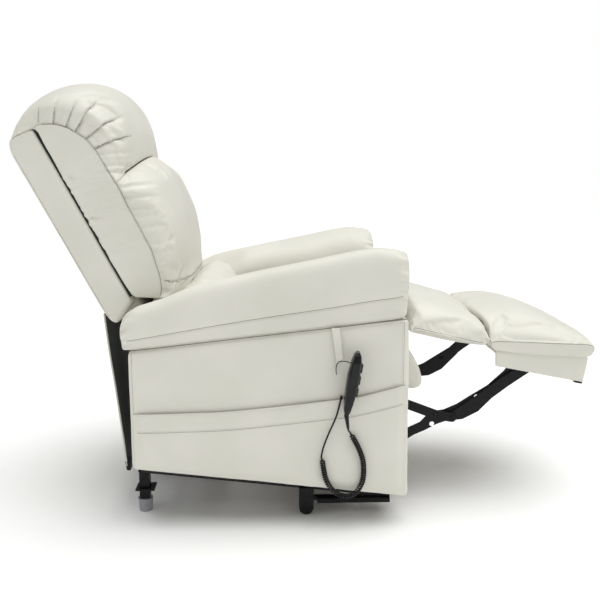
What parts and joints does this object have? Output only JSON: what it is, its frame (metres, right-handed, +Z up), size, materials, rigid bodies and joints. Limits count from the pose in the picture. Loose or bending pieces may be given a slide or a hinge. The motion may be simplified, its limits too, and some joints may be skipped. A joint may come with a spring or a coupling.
{
  "type": "lift recliner chair",
  "caption": "Powered lift recliner armchair with a reclining back, folding footrest, lifting base and wired handset, shown reclined with the footrest out.",
  "frame": {"origin": "on the floor, under the middle of the chair's box without its free cord", "axes": "+Z up, -Y is the way the sitter faces, +X is the sitter's left"},
  "size_m": [0.8525, 1.5246, 1.152],
  "materials": {
    "upholstery": "satin",
    "black_steel": "satin",
    "bright_steel": "satin",
    "black_plastic": "satin",
    "grey_plastic": "satin",
    "rocker_grey": "satin",
    "handset_black": "gloss",
    "cord_black": "satin",
    "plywood": "matte"
  },
  "bodies": {
    "base": {"base_rail_right": "black_steel", "base_rail_left": "black_steel", "base_front_beam": "black_steel", "base_rear_beam": "black_steel", "levelling_glide_right": "grey_plastic", "levelling_glide_left": "grey_plastic"},
    "castor_right": {"castor_wheel_right": "black_plastic"},
    "castor_left": {"castor_wheel_left": "black_plastic"},
    "lift_arms": {"lift_arm_right": "black_steel", "lift_arm_left": "black_steel", "lift_cross_tube": "black_steel"},
    "lift_guides": {"lift_guide_right": "black_steel", "lift_guide_left": "black_steel"},
    "lift_motor": {"lift_motor": "black_plastic"},
    "lift_rod": {"lift_rod": "bright_steel"},
    "chair": {"seat_side_plate_right": "black_steel", "seat_side_plate_left": "black_steel", "seat_mid_tube": "black_steel", "seat_rear_tube": "black_steel", "seat_deck": "plywood", "seat_cushion": "upholstery", "front_rail_pad": "upholstery", "arm_panel_right": "upholstery", "arm_panel_left": "upholstery", "arm_pad_right": "upholstery", "arm_pad_left": "upholstery", "side_pocket": "upholstery", "power_supply": "black_plastic", "handset": "handset_black", "handset_strap": "upholstery", "cord_boot": "cord_black", "cord_upper": "cord_black", "cord_coil": "cord_black", "cord_lower": "cord_black"},
    "back": {"back_shell": "upholstery", "head_pillow": "upholstery", "lumbar_cushion": "upholstery", "lower_back_cushion": "upholstery", "back_bracket_right": "black_steel", "back_bracket_left": "black_steel"},
    "flap": {"rear_flap": "upholstery"},
    "back_motor": {"back_motor": "black_plastic"},
    "back_rod": {"back_rod": "bright_steel"},
    "footrest_drive": {"footrest_drive_link_right": "black_steel", "footrest_drive_link_left": "black_steel", "footrest_shaft": "black_steel"},
    "footrest_guide": {"footrest_guide_link_right": "black_steel", "footrest_guide_link_left": "black_steel"},
    "footrest_long": {"footrest_long_link_right": "black_steel", "footrest_long_link_left": "black_steel"},
    "footrest_balance": {"footrest_balance_link_right": "black_steel", "footrest_balance_link_left": "black_steel"},
    "ottoman": {"ottoman_board": "upholstery", "ottoman_pad": "upholstery"},
    "leg_pad": {"leg_pad": "upholstery"},
    "leg_motor": {"leg_motor": "black_plastic"},
    "leg_rod": {"leg_rod": "bright_steel"},
    "rocker_1": {"handset_rocker_1": "rocker_grey"},
    "rocker_2": {"handset_rocker_2": "rocker_grey"},
    "rocker_3": {"handset_rocker_3": "rocker_grey"}
  },
  "joints": [
    {"name": "castor_right_roll", "type": "hinge", "parent": "base", "child": "castor_right", "pos_m": [-0.2767, 0.0269, 0.0195], "axis": [1, 0, 0], "continuous": true},
    {"name": "castor_left_roll", "type": "hinge", "parent": "base", "child": "castor_left", "pos_m": [0.3233, 0.0269, 0.0195], "axis": [1, 0, 0], "continuous": true},
    {"name": "lift", "type": "hinge", "parent": "base", "child": "lift_arms", "pos_m": [0.0233, -0.0831, 0.095], "axis": [1, 0, 0], "range_deg": [0, 58]},
    {"name": "lift_guide", "type": "hinge", "parent": "base", "child": "lift_guides", "pos_m": [0.0233, -0.0196, 0.095], "axis": [1, 0, 0], "range_deg": [0, 56]},
    {"name": "lift_tilt", "type": "hinge", "parent": "lift_arms", "child": "chair", "pos_m": [0.0233, 0.2369, 0.262], "axis": [1, 0, 0], "range_deg": [-34.5, 0]},
    {"name": "lift_motor_swing", "type": "hinge", "parent": "base", "child": "lift_motor", "pos_m": [0.0233, 0.3919, 0.14], "axis": [1, 0, 0], "range_deg": [-14, 0]},
    {"name": "lift_rod_stroke", "type": "slide", "parent": "lift_motor", "child": "lift_rod", "axis": [0, -0.9994, -0.036], "range_m": [0, 0.103]},
    {"name": "recline", "type": "hinge", "parent": "chair", "child": "back", "pos_m": [0.0233, 0.2869, 0.36], "axis": [1, 0, 0], "range_deg": [-20, 10]},
    {"name": "flap_hang", "type": "hinge", "parent": "back", "child": "flap", "pos_m": [0.0233, 0.5649, 0.5505], "axis": [1, 0, 0], "range_deg": [-10.2, 20.2]},
    {"name": "back_motor_swing", "type": "hinge", "parent": "chair", "child": "back_motor", "pos_m": [0.0233, -0.0131, 0.335], "axis": [1, 0, 0], "range_deg": [-1.4, 0.8]},
    {"name": "back_rod_stroke", "type": "slide", "parent": "back_motor", "child": "back_rod", "axis": [0, 0.9947, -0.1027], "range_m": [-0.02, 0.0105]},
    {"name": "footrest", "type": "hinge", "parent": "chair", "child": "footrest_drive", "pos_m": [0.0233, -0.1831, 0.315], "axis": [1, 0, 0], "range_deg": [0, 104]},
    {"name": "footrest_guide_swing", "type": "hinge", "parent": "chair", "child": "footrest_guide", "pos_m": [0.0233, -0.0902, 0.2689], "axis": [1, 0, 0], "range_deg": [0, 101.5]},
    {"name": "footrest_cross", "type": "hinge", "parent": "footrest_drive", "child": "footrest_long", "pos_m": [0.0233, -0.3331, 0.257], "axis": [1, 0, 0], "range_deg": [-89, 0]},
    {"name": "footrest_balance_swing", "type": "hinge", "parent": "footrest_drive", "child": "footrest_balance", "pos_m": [0.0233, -0.3801, 0.248], "axis": [1, 0, 0], "range_deg": [-84.2, 0]},
    {"name": "ottoman_fold", "type": "hinge", "parent": "footrest_long", "child": "ottoman", "pos_m": [0.0233, -0.5611, 0.402], "axis": [1, 0, 0], "range_deg": [0, 75]},
    {"name": "leg_pad_fold", "type": "hinge", "parent": "chair", "child": "leg_pad", "pos_m": [0.0233, -0.2551, 0.49], "axis": [1, 0, 0], "range_deg": [0, 33.5]},
    {"name": "leg_motor_swing", "type": "hinge", "parent": "chair", "child": "leg_motor", "pos_m": [0.0233, 0.3069, 0.32], "axis": [1, 0, 0], "range_deg": [0, 3.4]},
    {"name": "leg_rod_stroke", "type": "slide", "parent": "leg_motor", "child": "leg_rod", "axis": [0, -0.9984, -0.0558], "range_m": [-0.092, 0]},
    {"name": "rocker_1_press", "type": "hinge", "parent": "chair", "child": "rocker_1", "pos_m": [-0.4042, -0.10071, 0.44185], "axis": [1, 0, 0], "range_deg": [-6, 6], "stiffness_Nm_per_rad": 0.15},
    {"name": "rocker_2_press", "type": "hinge", "parent": "chair", "child": "rocker_2", "pos_m": [-0.4042, -0.09539, 0.41164], "axis": [1, 0, 0], "range_deg": [-6, 6], "stiffness_Nm_per_rad": 0.15},
    {"name": "rocker_3_press", "type": "hinge", "parent": "chair", "child": "rocker_3", "pos_m": [-0.4042, -0.09007, 0.38143], "axis": [1, 0, 0], "range_deg": [-6, 6], "stiffness_Nm_per_rad": 0.15}
  ],
  "couplings": [
    {"joint": "lift_guide", "follows": "lift", "ratio": 0.95227},
    {"joint": "lift_tilt", "follows": "lift", "ratio": -0.58621},
    {"joint": "lift_motor_swing", "follows": "lift", "ratio": -0.23416},
    {"joint": "lift_rod_stroke", "follows": "lift", "m_per_rad": 0.09928},
    {"joint": "flap_hang", "follows": "recline", "ratio": -1},
    {"joint": "back_motor_swing", "follows": "recline", "ratio": 0.0641},
    {"joint": "back_rod_stroke", "follows": "recline", "m_per_rad": 0.053858},
    {"joint": "footrest_guide_swing", "follows": "footrest", "ratio": 0.9709},
    {"joint": "footrest_cross", "follows": "footrest", "ratio": -0.85038},
    {"joint": "footrest_balance_swing", "follows": "footrest", "ratio": -0.80463},
    {"joint": "ottoman_fold", "follows": "footrest", "ratio": 0.71587},
    {"joint": "leg_pad_fold", "follows": "footrest", "ratio": 0.31734},
    {"joint": "leg_motor_swing", "follows": "footrest", "ratio": 0.031946},
    {"joint": "leg_rod_stroke", "follows": "footrest", "m_per_rad": -0.049589}
  ]
}
